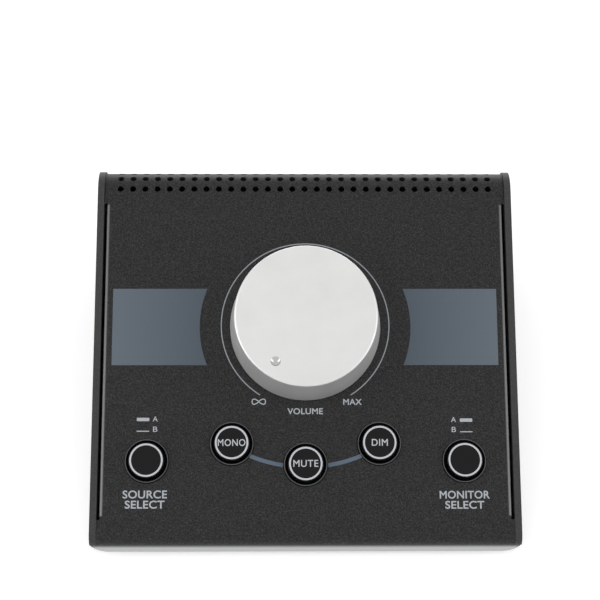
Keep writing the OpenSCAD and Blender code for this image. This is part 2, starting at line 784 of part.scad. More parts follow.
module rear_screws()
    color("#7d7f82") for (x = rear_screw_xs) translate([x, rear_y, rear_screw_z])
        rotate([90, 0, 0]) pan_screw(cover_t + panel_t + screw_tip);

module base_screws()
    color("#7d7f82") for (x = base_screw_xs) translate([x, base_screw_y, under_z])
        pan_screw(tray_t + panel_t + screw_tip);

top_cover();
left_side_plate();
right_side_plate();
base_tray();
rear_panel();
rubber_feet();
knob_cap();
knob_hub();
pot_shaft();
pot_rotor();
pot_housing();
pot_bushing();
pot_nut();
pot_washer();
for (i = [0 : len(BUTTONS) - 1]) button_cap(i);
for (i = [0 : len(BUTTONS) - 1]) button_ring(i);
for (i = [0 : len(BUTTONS) - 1]) switch_plunger(i);
for (i = [0 : len(BUTTONS) - 1]) button_bezel(i);
for (i = [0 : len(BUTTONS) - 1]) switch_body(i);
for (i = [0 : len(JACKS) - 1]) jack_body(i);
jack_sleeves();
jack_nuts();
jack_washers();
control_board();
jack_board();
ribbon_cable();
ribbon_headers();
board_standoffs();
board_screws();
side_screws();
rear_screws();
base_screws();
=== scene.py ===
import json
import math
import bpy
import bmesh
from mathutils import Matrix, Vector


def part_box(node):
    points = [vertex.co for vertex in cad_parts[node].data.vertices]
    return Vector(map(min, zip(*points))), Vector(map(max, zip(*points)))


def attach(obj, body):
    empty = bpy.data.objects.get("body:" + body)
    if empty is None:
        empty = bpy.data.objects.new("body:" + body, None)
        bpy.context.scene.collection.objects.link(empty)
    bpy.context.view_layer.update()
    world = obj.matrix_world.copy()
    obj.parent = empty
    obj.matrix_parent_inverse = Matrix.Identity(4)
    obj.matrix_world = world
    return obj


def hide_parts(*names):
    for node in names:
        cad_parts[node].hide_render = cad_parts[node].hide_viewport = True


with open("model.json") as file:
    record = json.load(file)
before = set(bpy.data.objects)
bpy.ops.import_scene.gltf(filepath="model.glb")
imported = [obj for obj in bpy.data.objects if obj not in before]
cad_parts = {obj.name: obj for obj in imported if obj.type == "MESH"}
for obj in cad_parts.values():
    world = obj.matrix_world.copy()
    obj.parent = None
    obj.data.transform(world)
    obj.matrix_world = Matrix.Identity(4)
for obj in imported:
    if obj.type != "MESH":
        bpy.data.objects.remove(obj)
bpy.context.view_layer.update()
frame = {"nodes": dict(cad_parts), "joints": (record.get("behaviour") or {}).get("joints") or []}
print("frame loaded")

mm = 0.001
weld = 1e-5  # two points of a shape nearer than this, in the units that it is drawn in, are one
spinWeld = 1e-4  # the same for the ends and poles of a spun outline

# The face's own axes: x across, up the slope, and out of the face, about the dial's axis
dialJoint = next(j for j in frame["joints"] if j["name"] == "dial_turn")
faceOrigin = Vector(dialJoint["pos_m"])
faceOut = -Vector(dialJoint["axis"]).normalized()
faceX = Vector((1, 0, 0))
faceUp = faceOut.cross(faceX)


def hexColour(text):  # sRGB hex to the linear colour that the shaders want
    values = [int(text[i:i + 2], 16) / 255 for i in (1, 3, 5)]
    return tuple(v / 12.92 if v <= 0.04045 else ((v + 0.055) / 1.055) ** 2.4 for v in values) + (1.0,)


def addNode(tree, kind, settings=None, links=None):  # a node with its settings and what feeds its sockets
    node = tree.nodes.new(kind)
    for key, value in (settings or {}).items():
        if isinstance(key, str) and hasattr(node, key):
            setattr(node, key, value)
        else:
            node.inputs[key].default_value = value
    for key, source in (links or {}).items():
        tree.links.new(source, node.inputs[key])
    return node


def newMaterial(name):  # a material with its tree, its shader and the object's own coordinates
    material = bpy.data.materials.new(name)
    material.use_nodes = True
    tree = material.node_tree
    place = addNode(tree, "ShaderNodeTexCoord").outputs["Object"]
    return material, tree, tree.nodes["Principled BSDF"], place


def turnFrame(spot, out, up):  # millimetres about a spot, with Z along out and Y along up
    across = up.cross(out)
    axes = Matrix((across, up, out)).transposed().to_4x4()
    return Matrix.Translation(spot) @ axes @ Matrix.Scale(mm, 4)


def facePlace(x=0.0, up=0.0, out=0.0):  # millimetres on the face, about the dial's axis
    return turnFrame(faceOrigin + (faceX * x + faceUp * up + faceOut * out) * mm, faceOut, faceUp)


def addPiece(name, bm, place, body, material, sharpAngle=40):
    mesh = bpy.data.meshes.new(name)
    bmesh.ops.remove_doubles(bm, verts=bm.verts, dist=weld)
    bmesh.ops.transform(bm, matrix=place, verts=bm.verts)
    bmesh.ops.recalc_face_normals(bm, faces=bm.faces)
    bm.to_mesh(mesh)
    bm.free()
    mesh.shade_smooth()
    mesh.set_sharp_from_angle(angle=math.radians(sharpAngle))
    mesh.materials.append(material)
    piece = bpy.data.objects.new(name, mesh)
    bpy.context.scene.collection.objects.link(piece)
    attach(piece, body)
    return piece


def spunProfile(bm, points, steps, closed=False):  # (radius, height) points, spun once about Z
    rim = [bm.verts.new((r, 0, z)) for r, z in points]
    edges = [bm.edges.new(pair) for pair in zip(rim, rim[1:] + ([rim[0]] if closed else []))]
    bmesh.ops.spin(bm, geom=rim + edges, cent=(0, 0, 0), axis=(0, 0, 1), angle=2 * math.pi,
                   steps=steps, use_merge=True, use_duplicate=False)
    bmesh.ops.remove_doubles(bm, verts=bm.verts, dist=spinWeld)


def carved(bm, other, operation="DIFFERENCE"):  # one solid cut by another, as a new mesh
    pieces = []
    for label, source in (("whole", bm), ("cutter", other)):
        mesh = bpy.data.meshes.new(label)
        bmesh.ops.recalc_face_normals(source, faces=source.faces)
        source.to_mesh(mesh)
        source.free()
        pieces.append(bpy.data.objects.new(label, mesh))
        bpy.context.scene.collection.objects.link(pieces[-1])
    change = pieces[0].modifiers.new("cut", "BOOLEAN")
    change.operation = operation
    change.object = pieces[1]
    bpy.context.view_layer.update()
    mesh = bpy.data.meshes.new_from_object(pieces[0].evaluated_get(bpy.context.evaluated_depsgraph_get()))
    made = bmesh.new()
    made.from_mesh(mesh)
    for used in [mesh] + [piece.data for piece in pieces]:
        bpy.data.meshes.remove(used)
    return made


def manyOf(bm, places):  # one shape set down at several places, as one mesh
    mesh = bpy.data.meshes.new("pattern")
    bm.to_mesh(mesh)
    bm.free()
    made = bmesh.new()
    for place in places:
        before = len(made.verts)
        made.from_mesh(mesh)
        made.verts.ensure_lookup_table()
        bmesh.ops.transform(made, matrix=place, verts=made.verts[before:])
    bpy.data.meshes.remove(mesh)
    return made


def faceSpan(nodeName):  # lowest and highest across, up and out of the face, in mm about the dial's axis
    points = [v.co - faceOrigin for v in frame["nodes"][nodeName].data.vertices]
    return [(min(p.dot(axis) for p in points) / mm, max(p.dot(axis) for p in points) / mm)
            for axis in (faceX, faceUp, faceOut)]


def topPlace(nodeName, lower=0.0):  # the middle of a node's top, or so much lower
    across, up, out = faceSpan(nodeName)
    return facePlace(sum(across) / 2, sum(up) / 2, out[1] - lower)


def thicken(bm, thick):  # flat ink made a film of that thickness
    made = bmesh.ops.extrude_face_region(bm, geom=bm.faces[:])
    moved = [g for g in made["geom"] if isinstance(g, bmesh.types.BMVert)]
    bmesh.ops.translate(bm, vec=(0, 0, thick), verts=moved)


def arcStrip(bm, innerR, outerR, fromAngle, toAngle, steps):  # degrees, clockwise from straight up
    start = math.radians(fromAngle)
    ends = [bm.verts.new((r * math.sin(start), r * math.cos(start), 0)) for r in (innerR, outerR)]
    edge = bm.edges.new(ends)
    bmesh.ops.spin(bm, geom=ends + [edge], cent=(0, 0, 0), axis=(0, 0, 1),
                   angle=-math.radians(toAngle - fromAngle), steps=steps,
                   use_merge=False, use_duplicate=False)


# Materials
# A Mix node takes two colours at inputs 6 and 7 and gives output 2, or two numbers at 2 and 3 and gives 0

def powderCoat(name, base, pale, dark, grain, rough, specular, bump, sheen=0.0, foldHighlight=None):
    # Polyester powder coat, sprayed and baked: matt, with orange peel and fine pale and dark specks
    # Its grain of about 0.2 mm is too fine to show, so it is drawn at the grain given
    # A fold gets a pale line along its bent edge, which is a painted highlight mixed into the coat's colour
    material, tree, shader, place = newMaterial(name)
    shader.inputs["Specular IOR Level"].default_value = specular
    shader.inputs["Sheen Weight"].default_value = sheen
    shader.inputs["Sheen Roughness"].default_value = 0.35
    speck = addNode(tree, "ShaderNodeTexNoise",
                    {"Scale": 1 / (grain * mm), "Detail": 3.0, "Roughness": 0.65}, {"Vector": place})
    ramp = addNode(tree, "ShaderNodeValToRGB", {}, {"Fac": speck.outputs["Fac"]})
    stops = ramp.color_ramp.elements
    stops[0].position, stops[0].color = 0.36, hexColour(dark)
    stops[1].position, stops[1].color = 0.66, hexColour(pale)
    middle = stops.new(0.5)
    middle.color = hexColour(base)
    paint = ramp.outputs["Color"]
    # Painted highlight: the pale tone is mixed in where the coat turns over the folds' edges
    if foldHighlight:
        turned = addNode(tree, "ShaderNodeSeparateXYZ", {}, {0: place.node.outputs["Normal"]})
        spot = addNode(tree, "ShaderNodeSeparateXYZ", {}, {0: place})
        lean = addNode(tree, "ShaderNodeMath", {"operation": "ABSOLUTE"}, {0: turned.outputs["X"]})
        side = addNode(tree, "ShaderNodeMath", {"operation": "ABSOLUTE"}, {0: spot.outputs["X"]})
        band = addNode(tree, "ShaderNodeValToRGB", {}, {"Fac": lean.outputs[0]})
        bandStops = band.color_ramp.elements
        bandStops[0].position, bandStops[0].color = foldHighlight["from"], (0, 0, 0, 1)
        bandStops[1].position, bandStops[1].color = foldHighlight["to"], (0, 0, 0, 1)
        peak = bandStops.new(foldHighlight["peak"])
        peak.color = (1, 1, 1, 1)
        outside = addNode(tree, "ShaderNodeMath", {"operation": "GREATER_THAN", 1: foldHighlight["x"] * mm},
                          {0: side.outputs[0]})
        amount = addNode(tree, "ShaderNodeMath", {"operation": "MULTIPLY"},
                         {0: band.outputs["Color"], 1: outside.outputs[0]})
        paintedShine = addNode(tree, "ShaderNodeMix", {"data_type": "RGBA", 7: hexColour(foldHighlight["paintedTone"])},
                       {0: amount.outputs[0], 6: paint})
        paint = paintedShine.outputs[2]
    tree.links.new(paint, shader.inputs["Base Color"])
    cloud = addNode(tree, "ShaderNodeTexNoise", {"Scale": 1 / (18 * mm), "Detail": 2.0}, {"Vector": place})
    roughness = addNode(tree, "ShaderNodeMapRange", {"To Min": rough - 0.05, "To Max": rough + 0.05},
                        {"Value": cloud.outputs["Fac"]})
    tree.links.new(roughness.outputs[0], shader.inputs["Roughness"])
    relief = addNode(tree, "ShaderNodeBump", {"Strength": bump, "Distance": 0.03 * mm},
                     {"Height": speck.outputs["Fac"]})
    tree.links.new(relief.outputs[0], shader.inputs["Normal"])
    return material


def stripPaint(name, base, pale, shade, topZ, fade):
    # Satin stoving enamel on the tray: light grey, with painted shade darkening its top under the nose's edge
    material, tree, shader, place = newMaterial(name)
    shader.inputs["Roughness"].default_value = 0.45
    split = addNode(tree, "ShaderNodeSeparateXYZ", {}, {0: place})
    mottle = addNode(tree, "ShaderNodeTexNoise", {"Scale": 1 / (0.6 * mm), "Detail": 2.0}, {"Vector": place})
    paint = addNode(tree, "ShaderNodeMix", {"data_type": "RGBA", 6: hexColour(base), 7: hexColour(pale)},
                    {0: mottle.outputs["Fac"]})
    # Painted shade: the strip darkens towards its top, as under the nose's edge
    depth = addNode(tree, "ShaderNodeMapRange", {"From Min": (topZ - fade) * mm, "From Max": topZ * mm,
                    "interpolation_type": "SMOOTHSTEP"}, {"Value": split.outputs["Z"]})
    colour = addNode(tree, "ShaderNodeMix", {"data_type": "RGBA", 7: hexColour(shade)},
                     {0: depth.outputs[0], 6: paint.outputs[2]})
    tree.links.new(colour.outputs[2], shader.inputs["Base Color"])
    relief = addNode(tree, "ShaderNodeBump", {"Strength": 0.1, "Distance": 0.02 * mm},
                     {"Height": mottle.outputs["Fac"]})
    tree.links.new(relief.outputs[0], shader.inputs["Normal"])
    return material


pointerDimple = {  # where the solid has its dimple, in mm about the dial's axis, with its smoother polish and a darker tone that is painted shade in the hollow
    "across": -10.13, "up": -15.6, "out": 17.9, "radius": 1.72, "blend": 0.06,
    "paintedTone": "#bcbcbb", "rough": 0.2,
}


def blastedAluminium(name, base, dark, grain, rough):
    # Aluminium, bead blasted and clear anodised: a bright satin metal with a very fine frost
    # The pointer's dimple is milled after the blasting, so it is smoother, and it is painted darker as shade
    # in its hollow
    # The frost, of about 0.1 mm, is too fine to show, so it is drawn at the grain given
    # The anodic layer scatters a little light, so the metal is not a full mirror of what is round it
    material, tree, shader, place = newMaterial(name)
    shader.inputs["Metallic"].default_value = 0.8
    frost = addNode(tree, "ShaderNodeTexNoise",
                    {"Scale": 1 / (grain * mm), "Detail": 3.0, "Roughness": 0.7}, {"Vector": place})
    cloud = addNode(tree, "ShaderNodeTexNoise", {"Scale": 1 / (9 * mm), "Detail": 3.0}, {"Vector": place})
    both = addNode(tree, "ShaderNodeMath", {"operation": "MULTIPLY_ADD", 1: 0.7},
                   {0: frost.outputs["Fac"], 2: cloud.outputs["Fac"]})
    shade = addNode(tree, "ShaderNodeMapRange", {"From Min": 0.5, "From Max": 1.2},
                    {"Value": both.outputs[0]})
    colour = addNode(tree, "ShaderNodeMix", {"data_type": "RGBA", 6: hexColour(dark), 7: hexColour(base)},
                     {0: shade.outputs[0]})
    dimple = pointerDimple
    radius, blend = dimple["radius"], dimple["blend"]
    spot = faceOrigin + (faceX * dimple["across"] + faceUp * dimple["up"] + faceOut * dimple["out"]) * mm
    away = addNode(tree, "ShaderNodeVectorMath", {"operation": "DISTANCE", 1: spot}, {0: place})
    # Painted shade: the dimple's hollow is mixed to the darker tone
    dimpleMask = addNode(tree, "ShaderNodeMapRange",
                     {"From Min": (radius + blend) * mm, "From Max": (radius - blend) * mm},
                     {"Value": away.outputs["Value"]})
    paintedTone = addNode(tree, "ShaderNodeMix", {"data_type": "RGBA", 7: hexColour(dimple["paintedTone"])},
                   {0: dimpleMask.outputs[0], 6: colour.outputs[2]})
    tree.links.new(paintedTone.outputs[2], shader.inputs["Base Color"])
    satin = addNode(tree, "ShaderNodeMapRange", {"To Min": rough - 0.04, "To Max": rough + 0.04},
                    {"Value": frost.outputs["Fac"]})
    roughness = addNode(tree, "ShaderNodeMix", {"data_type": "FLOAT", 3: dimple["rough"]},
                        {0: dimpleMask.outputs[0], 2: satin.outputs[0]})
    tree.links.new(roughness.outputs[0], shader.inputs["Roughness"])
    relief = addNode(tree, "ShaderNodeBump", {"Strength": 0.12, "Distance": 0.02 * mm},
                     {"Height": frost.outputs["Fac"]})
    tree.links.new(relief.outputs[0], shader.inputs["Normal"])
    return material


def mouldedPlastic(name, base, pale, rough, grain=0.5, bump=0.08, specular=0.5):
    # Injection-moulded ABS or nylon: an even colour with a faint spark-eroded grain and handling haze
    material, tree, shader, place = newMaterial(name)
    shader.inputs["IOR"].default_value = 1.5
    shader.inputs["Specular IOR Level"].default_value = specular
    grit = addNode(tree, "ShaderNodeTexNoise", {"Scale": 1 / (grain * mm), "Detail": 2.0}, {"Vector": place})
    haze = addNode(tree, "ShaderNodeTexNoise",
                   {"Scale": 1 / (4 * mm), "Detail": 4.0, "Roughness": 0.6}, {"Vector": place})
    colour = addNode(tree, "ShaderNodeMix", {"data_type": "RGBA", 6: hexColour(base), 7: hexColour(pale)},
                     {0: haze.outputs["Fac"]})
    tree.links.new(colour.outputs[2], shader.inputs["Base Color"])
    roughness = addNode(tree, "ShaderNodeMapRange", {"To Min": rough * 0.85, "To Max": rough * 1.2},
                        {"Value": haze.outputs["Fac"]})
    tree.links.new(roughness.outputs[0], shader.inputs["Roughness"])
    relief = addNode(tree, "ShaderNodeBump", {"Strength": bump, "Distance": 0.02 * mm},
                     {"Height": grit.outputs["Fac"]})
    tree.links.new(relief.outputs[0], shader.inputs["Normal"])
    return material


def platedMetal(name, base, dark, rough):
    # Nickel, zinc or brass turned parts: bright metal with fine turning marks and a little tarnish
    material, tree, shader, place = newMaterial(name)
    shader.inputs["Metallic"].default_value = 1.0
    tarnish = addNode(tree, "ShaderNodeTexNoise", {"Scale": 1 / (1.5 * mm), "Detail": 4.0}, {"Vector": place})
    marks = addNode(tree, "ShaderNodeTexNoise", {"Scale": 1 / (0.3 * mm), "Detail": 2.0}, {"Vector": place})
    colour = addNode(tree, "ShaderNodeMix", {"data_type": "RGBA", 6: hexColour(dark), 7: hexColour(base)},
                     {0: tarnish.outputs["Fac"]})
    tree.links.new(colour.outputs[2], shader.inputs["Base Color"])
    roughness = addNode(tree, "ShaderNodeMapRange", {"To Min": rough * 0.9, "To Max": rough * 1.15},
                        {"Value": marks.outputs["Fac"]})
    tree.links.new(roughness.outputs[0], shader.inputs["Roughness"])
    relief = addNode(tree, "ShaderNodeBump", {"Strength": 0.04, "Distance": 0.01 * mm},
                     {"Height": marks.outputs["Fac"]})
    tree.links.new(relief.outputs[0], shader.inputs["Normal"])
    return material


def screenInk(name, inner, outer, nearX, farX, rough=0.5):
    # Screen-printed epoxy ink: flat and opaque, with a faint mesh mottling, paler towards the sides
    material, tree, shader, place = newMaterial(name)
    shader.inputs["IOR"].default_value = 1.45
    shader.inputs["Specular IOR Level"].default_value = 0.3
    split = addNode(tree, "ShaderNodeSeparateXYZ", {}, {0: place})
    side = addNode(tree, "ShaderNodeMath", {"operation": "ABSOLUTE"}, {0: split.outputs["X"]})
    mottle = addNode(tree, "ShaderNodeTexNoise", {"Scale": 1 / (0.5 * mm), "Detail": 2.0}, {"Vector": place})
    spread = addNode(tree, "ShaderNodeMapRange", {"From Min": nearX * mm, "From Max": farX * mm},
                     {"Value": side.outputs[0]})
    jitter = addNode(tree, "ShaderNodeMath", {"operation": "MULTIPLY_ADD", 1: 0.4, 2: -0.2},
                     {0: mottle.outputs["Fac"]})
    total = addNode(tree, "ShaderNodeMath", {"operation": "ADD"},
                    {0: spread.outputs[0], 1: jitter.outputs[0]})
    colour = addNode(tree, "ShaderNodeMix", {"data_type": "RGBA", 6: hexColour(inner), 7: hexColour(outer)},
                     {0: total.outputs[0]})
    tree.links.new(colour.outputs[2], shader.inputs["Base Color"])
    roughness = addNode(tree, "ShaderNodeMapRange", {"To Min": rough - 0.06, "To Max": rough + 0.06},
                        {"Value": mottle.outputs["Fac"]})
    tree.links.new(roughness.outputs[0], shader.inputs["Roughness"])
    return material


def boardLaminate(name):
    # Glass-epoxy board under green solder resist: a fine weave under gloss, with paler runs of copper
    material, tree, shader, place = newMaterial(name)
    shader.inputs["Roughness"].default_value = 0.35
    weave = addNode(tree, "ShaderNodeTexChecker",
                    {"Scale": 1 / (0.8 * mm), 1: hexColour("#1a4f30"), 2: hexColour("#1f5c38")},
                    {"Vector": place})
    tracks = addNode(tree, "ShaderNodeTexBrick",
                     {"Scale": 1 / (9 * mm), 1: (1, 1, 1, 1), 2: (0.85, 0.85, 0.85, 1),
                      3: (1.7, 1.7, 1.3, 1), "Mortar Size": 0.03}, {"Vector": place})
    colour = addNode(tree, "ShaderNodeMix", {"data_type": "RGBA", "blend_type": "MULTIPLY", 0: 1.0},
                     {6: weave.outputs["Color"], 7: tracks.outputs["Color"]})
    tree.links.new(colour.outputs[2], shader.inputs["Base Color"])
    return material


stripHigh = 4.8  # the front strip, from the tray's underside to its top edge, in mm
paintedShadeHigh = 2.4  # how far down it the painted shade under the nose fades out
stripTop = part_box("base_tray")[0].z / mm + stripHigh
# The folds lie past this X, in mm, and their pale tone is a painted highlight. From, peak and to are slants:
# 0 is the flat face and 1 faces sideways
paintedFoldHighlight = {"from": 0.25, "peak": 0.8, "to": 0.99, "x": 67.4, "paintedTone": "#a8a8a8"}
coverCoat = powderCoat("charcoalPowderCoat", "#212121", "#393939", "#080808", 0.45, 0.5, 0.22, 0.35,
                       sheen=0.25, foldHighlight=paintedFoldHighlight)
sideCoat = powderCoat("graphitePowderCoat", "#373737", "#424242", "#2d2d2d", 0.45, 0.5, 0.25, 0.3)
# 242424 is the painted shade at the strip's top
trayCoat = stripPaint("silverGreyEnamel", "#b5b6b7", "#bfc0c1", "#242424", stripTop, paintedShadeHigh)
dialMetal = blastedAluminium("blastedAluminium", "#dededd", "#d6d6d5", 0.4, 0.5)
buttonPlastic = mouldedPlastic("glossBlackAbs", "#0f0f10", "#131314", 0.22, bump=0.02, specular=0.15)
bezelPlastic = mouldedPlastic("satinBlackAbs", "#08080a", "#0c0c0e", 0.3, bump=0.03, specular=0.15)
ringPlastic = mouldedPlastic("paleGreyRing", "#b9bbc0", "#c3c5ca", 0.35, bump=0.02)
hubPlastic = mouldedPlastic("blackNylon", "#1b1b1c", "#242425", 0.55)
whitePlastic = mouldedPlastic("naturalNylon", "#dcd8cd", "#e8e5dc", 0.45)
brownPlastic = mouldedPlastic("phenolicBrown", "#5a3a20", "#6b4728", 0.5)
bluePlastic = mouldedPlastic("bluePotPlastic", "#2f4d7c", "#38588a", 0.4)
socketPlastic = mouldedPlastic("socketBlackNylon", "#171718", "#212122", 0.5)
ribbonPlastic = mouldedPlastic("ribbonGrey", "#83868a", "#90949a", 0.5)
footRubber = mouldedPlastic("footRubber", "#161616", "#202020", 0.8, grain=0.3, bump=0.3)
# A mid grey on the black bezels' beads: a painted highlight
highlightBeadPlastic = mouldedPlastic("greyBeadPaintedHighlight", "#545456", "#5e5e60", 0.2, bump=0.02, specular=0.3)
nickel = platedMetal("nickelPlate", "#c2c1bd", "#b0afab", 0.25)
zincSteel = platedMetal("zincSteel", "#b6b8ba", "#9a9c9e", 0.35)
blackSteel = platedMetal("blackZincSteel", "#3a3a3c", "#2c2c2e", 0.38)
brass = platedMetal("turnedBrass", "#c9a14d", "#a98235", 0.3)
laminate = boardLaminate("greenBoard")
paleInk = screenInk("paleGreyInk", "#a6abb0", "#a9aeb3", 0, 70)
lineInk = screenInk("thinLineInk", "#90959a", "#959a9f", 0, 70)
capInk = screenInk("capInk", "#b4b8bc", "#babec2", 0, 70)
panelInk = screenInk("slateInk", "#4d5660", "#5d666f", 34, 66)
arcInk = screenInk("arcInk", "#536071", "#5c6876", 5, 20)
print("materials made")

# Every carried-over solid gets its finish
finishes = {
    "top_cover": coverCoat, "left_side_plate": sideCoat, "right_side_plate": sideCoat,
    "base_tray": trayCoat, "rear_panel": coverCoat, "rubber_feet": footRubber,
    "knob_cap": dialMetal, "knob_hub": hubPlastic, "pot_shaft": zincSteel, "pot_rotor": brownPlastic,
    "pot_housing": bluePlastic, "pot_bushing": brass, "pot_nut": nickel, "pot_washer": nickel,
    "jack_sleeves": nickel, "jack_nuts": nickel, "jack_washers": nickel,
    "control_board": laminate, "jack_board": laminate, "ribbon_cable": ribbonPlastic,
    "ribbon_headers": hubPlastic, "board_standoffs": brass, "board_screws": zincSteel,
    "side_screws": blackSteel, "rear_screws": blackSteel, "base_screws": blackSteel,
}
endings = {"_cap": buttonPlastic, "_ring": ringPlastic, "_plunger": whitePlastic,
           "_bezel": bezelPlastic, "_switch": hubPlastic}
for nodeName, node in frame["nodes"].items():
    finish = finishes.get(nodeName)
    if finish is None and nodeName.startswith("jack_body_"):
        finish = socketPlastic
    if finish is None:
        finish = next(m for ending, m in endings.items() if nodeName.endswith(ending))
    node.data.materials.clear()
    node.data.materials.append(finish)
print("finishes set on the solids")

# Buttons: each cap and its inlaid ring, with the caps' fine upper edge, in place of the plainer solids
capShape = {
    "radius": 6.0, "top": 2.6, "edge": 0.35, "edgeSteps": 6, "skirt": -1.0, "wall": 1.1,
    "ceiling": 1.0, "seat": 0.2, "bossOut": 2.6, "bossIn": 1.6,
    "ringOut": 5.65, "ringIn": 4.99, "ringDeep": 0.4, "soft": 0.06, "steps": 96,
}


def buttonCap(button):
    form = capShape
    radius, edge, top, skirt = form["radius"], form["edge"], form["top"], form["skirt"]
    ringIn, ringOut, soft = form["ringIn"], form["ringOut"], form["soft"]
    floorAt = top - form["ringDeep"]
    inner = radius - form["wall"]
    place = topPlace(button + "_cap", top)
    angles = [math.radians(90 / form["edgeSteps"] * i) for i in range(form["edgeSteps"] + 1)]
    rounding = [(radius - edge * (1 - math.sin(a)), top - edge * (1 - math.cos(a))) for a in angles]
    outside = [(0, top), (ringIn, top), (ringIn, floorAt), (ringOut, floorAt)] + rounding + [(radius, skirt)]
    inside = [(inner, skirt), (inner, form["ceiling"]), (form["bossOut"], form["ceiling"]),
              (form["bossOut"], skirt), (form["bossIn"], skirt), (form["bossIn"], form["seat"]),
              (0, form["seat"])]
    bm = bmesh.new()
    spunProfile(bm, outside + inside, form["steps"])
    cap = addPiece(button + "_keycap", bm, place, button + "_button", buttonPlastic)
    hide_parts(button + "_cap")
    bm = bmesh.new()
    spunProfile(bm, [(ringIn, floorAt), (ringOut, floorAt), (ringOut, top - soft), (ringOut - soft, top),
                     (ringIn + soft, top), (ringIn, top - soft)], form["steps"], closed=True)
    ring = addPiece(button + "_inlay", bm, place, button + "_button", ringPlastic)
    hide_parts(button + "_ring")


bezelLip = {"inner": 7.02, "outer": 7.3, "high": 0.04, "bead": 0.08, "root": -0.18, "steps": 96}


def bezelBead(button):  # the polished bead round the top of a bezel, coloured a mid grey as a painted highlight
    lip = bezelLip
    inner, outer, high, bead = lip["inner"], lip["outer"], lip["high"], lip["bead"]
    bm = bmesh.new()
    spunProfile(bm, [(inner, lip["root"]), (outer, lip["root"]), (outer, 0), (outer - bead, high),
                     (inner + bead, high), (inner, 0)], lip["steps"], closed=True)
    place = topPlace(button + "_bezel")
    addPiece(button + "_highlightBead", bm, place, "case", highlightBeadPlastic)


for button in ("source", "mono", "mute", "dim", "monitor"):
    buttonCap(button)
    bezelBead(button)
print("buttons made")

# Fasteners, sockets and feet, in millimetres: each kind is one mesh set down at all its places
screwForms = {  # each head is (radius, height) points from its seat, and each tip is a height
    "pan": [(0, 1.6), (1.5, 1.58), (2.2, 1.38), (2.7, 0.92), (2.88, 0.4), (2.9, 0), (1.5, 0)],
    "sunk": [(0, -0.02), (2.78, -0.02), (2.9, -0.1), (1.5, -1.4)],
    "tips": {"pan": -4.9, "sunk": -6.1}, "headRadius": 2.9, "panHigh": 1.6,
    "crest": 1.5, "root": 1.24, "pitch": 0.5, "neck": 0.1, "plain": 0.6, "point": (0.9, 0.4),
    "recess": 2.9, "blade": 0.75, "deep": 0.95, "taper": 0.62, "steps": 48,
}
sideScrewSpots = [(-32.675, 9.5), (40.86, 9.5), (54.36, 34.739)]  # mm to the back and up, alike on both sides


def crossScrew(head):  # a turned screw with a cross recess, its head's seat at Z = 0
    form = screwForms
    tip = form["tips"][head]
    thread = []
    depth = form[head][-1][1] - form["neck"]
    while depth > tip + form["plain"]:
        thread += [(form["crest"], depth), (form["root"], depth - form["pitch"] / 2)]
        depth -= form["pitch"]
    pointRadius, pointLong = form["point"]
    point = [(form["root"], tip + pointLong), (pointRadius, tip), (0, tip)]
    bm = bmesh.new()
    spunProfile(bm, form[head] + thread + point, form["steps"])
    top = form[head][0][1]
    for turn in (0, 90):
        cutter = bmesh.new()
        bmesh.ops.create_cube(cutter, size=1.0)
        bmesh.ops.scale(cutter, vec=(form["recess"], form["blade"], form["deep"] * 2), verts=cutter.verts)
        low = [v for v in cutter.verts if v.co.z < 0]
        bmesh.ops.scale(cutter, vec=(form["taper"], form["taper"], 1), verts=low)
        turned = Matrix.Rotation(math.radians(turn), 3, "Z")
        bmesh.ops.rotate(cutter, cent=(0, 0, 0), matrix=turned, verts=cutter.verts)
        bmesh.ops.translate(cutter, vec=(0, 0, top), verts=cutter.verts)
        bm = carved(bm, cutter)
    return bm


def screwPiece(name, head, places):
    return addPiece(name, manyOf(crossScrew(head), places), Matrix(), "case", blackSteel)


def spreadOf(nodeName, axis, inset):  # the outermost places of a row along an axis
    low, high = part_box(nodeName)
    return low[axis] + inset * mm, high[axis] - inset * mm


def makeScrews():
    headRadius, panHigh = screwForms["headRadius"], screwForms["panHigh"]
    back, above, below = Vector((0, 1, 0)), Vector((0, 0, 1)), Vector((0, 0, -1))
    low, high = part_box("rear_screws")
    ends = spreadOf("rear_screws", 0, headRadius)
    seat = high.y - panHigh * mm
    places = [turnFrame(Vector((x, seat, (low.z + high.z) / 2)), back, above)
              for x in (ends[0], 0, ends[1])]
    piece = screwPiece("rearCrossScrews", "pan", places)
    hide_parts("rear_screws")
    low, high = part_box("base_screws")
    ends = spreadOf("base_screws", 0, headRadius)
    seat = low.z + panHigh * mm
    places = [turnFrame(Vector((x, (low.y + high.y) / 2, seat)), below, back)
              for x in (ends[0], 0, ends[1])]
    piece = screwPiece("baseCrossScrews", "pan", places)
    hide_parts("base_screws")
    low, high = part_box("side_screws")
    places = [turnFrame(Vector((x, y * mm, z * mm)), Vector((math.copysign(1, x), 0, 0)), above)
              for x in (low.x, high.x) for y, z in sideScrewSpots]
    piece = screwPiece("sideCrossScrews", "sunk", places)
    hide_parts("side_screws")


socketShape = {  # along a socket, heights are from the panel's outer face
    "columns": (-45, -15, 15, 45), "rows": (14.5, 32.5), "panel": 58.86, "bore": 3.25, "sleeve": 4.5,
    "foot": -3.0, "end": 4.5, "thread": 0.22, "pitch": 0.6, "plain": 0.5, "soft": 0.25, "steps": 64,
    "nutFlats": 11.0, "nutFrom": 1.8, "nutTo": 3.8, "nutSoft": 0.35, "nutSlope": 2.2, "nutSteps": 96,
    "nutSharp": 25, "barLong": 20,
}


def socketSleeve():  # a sleeve with ridges in place of a thread
    form = socketShape
    radius, bore, soft, end = form["sleeve"], form["bore"], form["soft"], form["end"]
    outside = [(radius, form["foot"])]
    depth = form["nutFrom"]
    while depth < end - form["plain"]:
        outside += [(radius, depth), (radius - form["thread"], depth + form["pitch"] / 2)]
        depth += form["pitch"]
    outside += [(radius, end - soft), (radius - soft, end)]
    inside = [(bore + soft, end), (bore, end - soft), (bore, form["foot"])]
    bm = bmesh.new()
    spunProfile(bm, outside + inside, form["steps"], closed=True)
    return bm


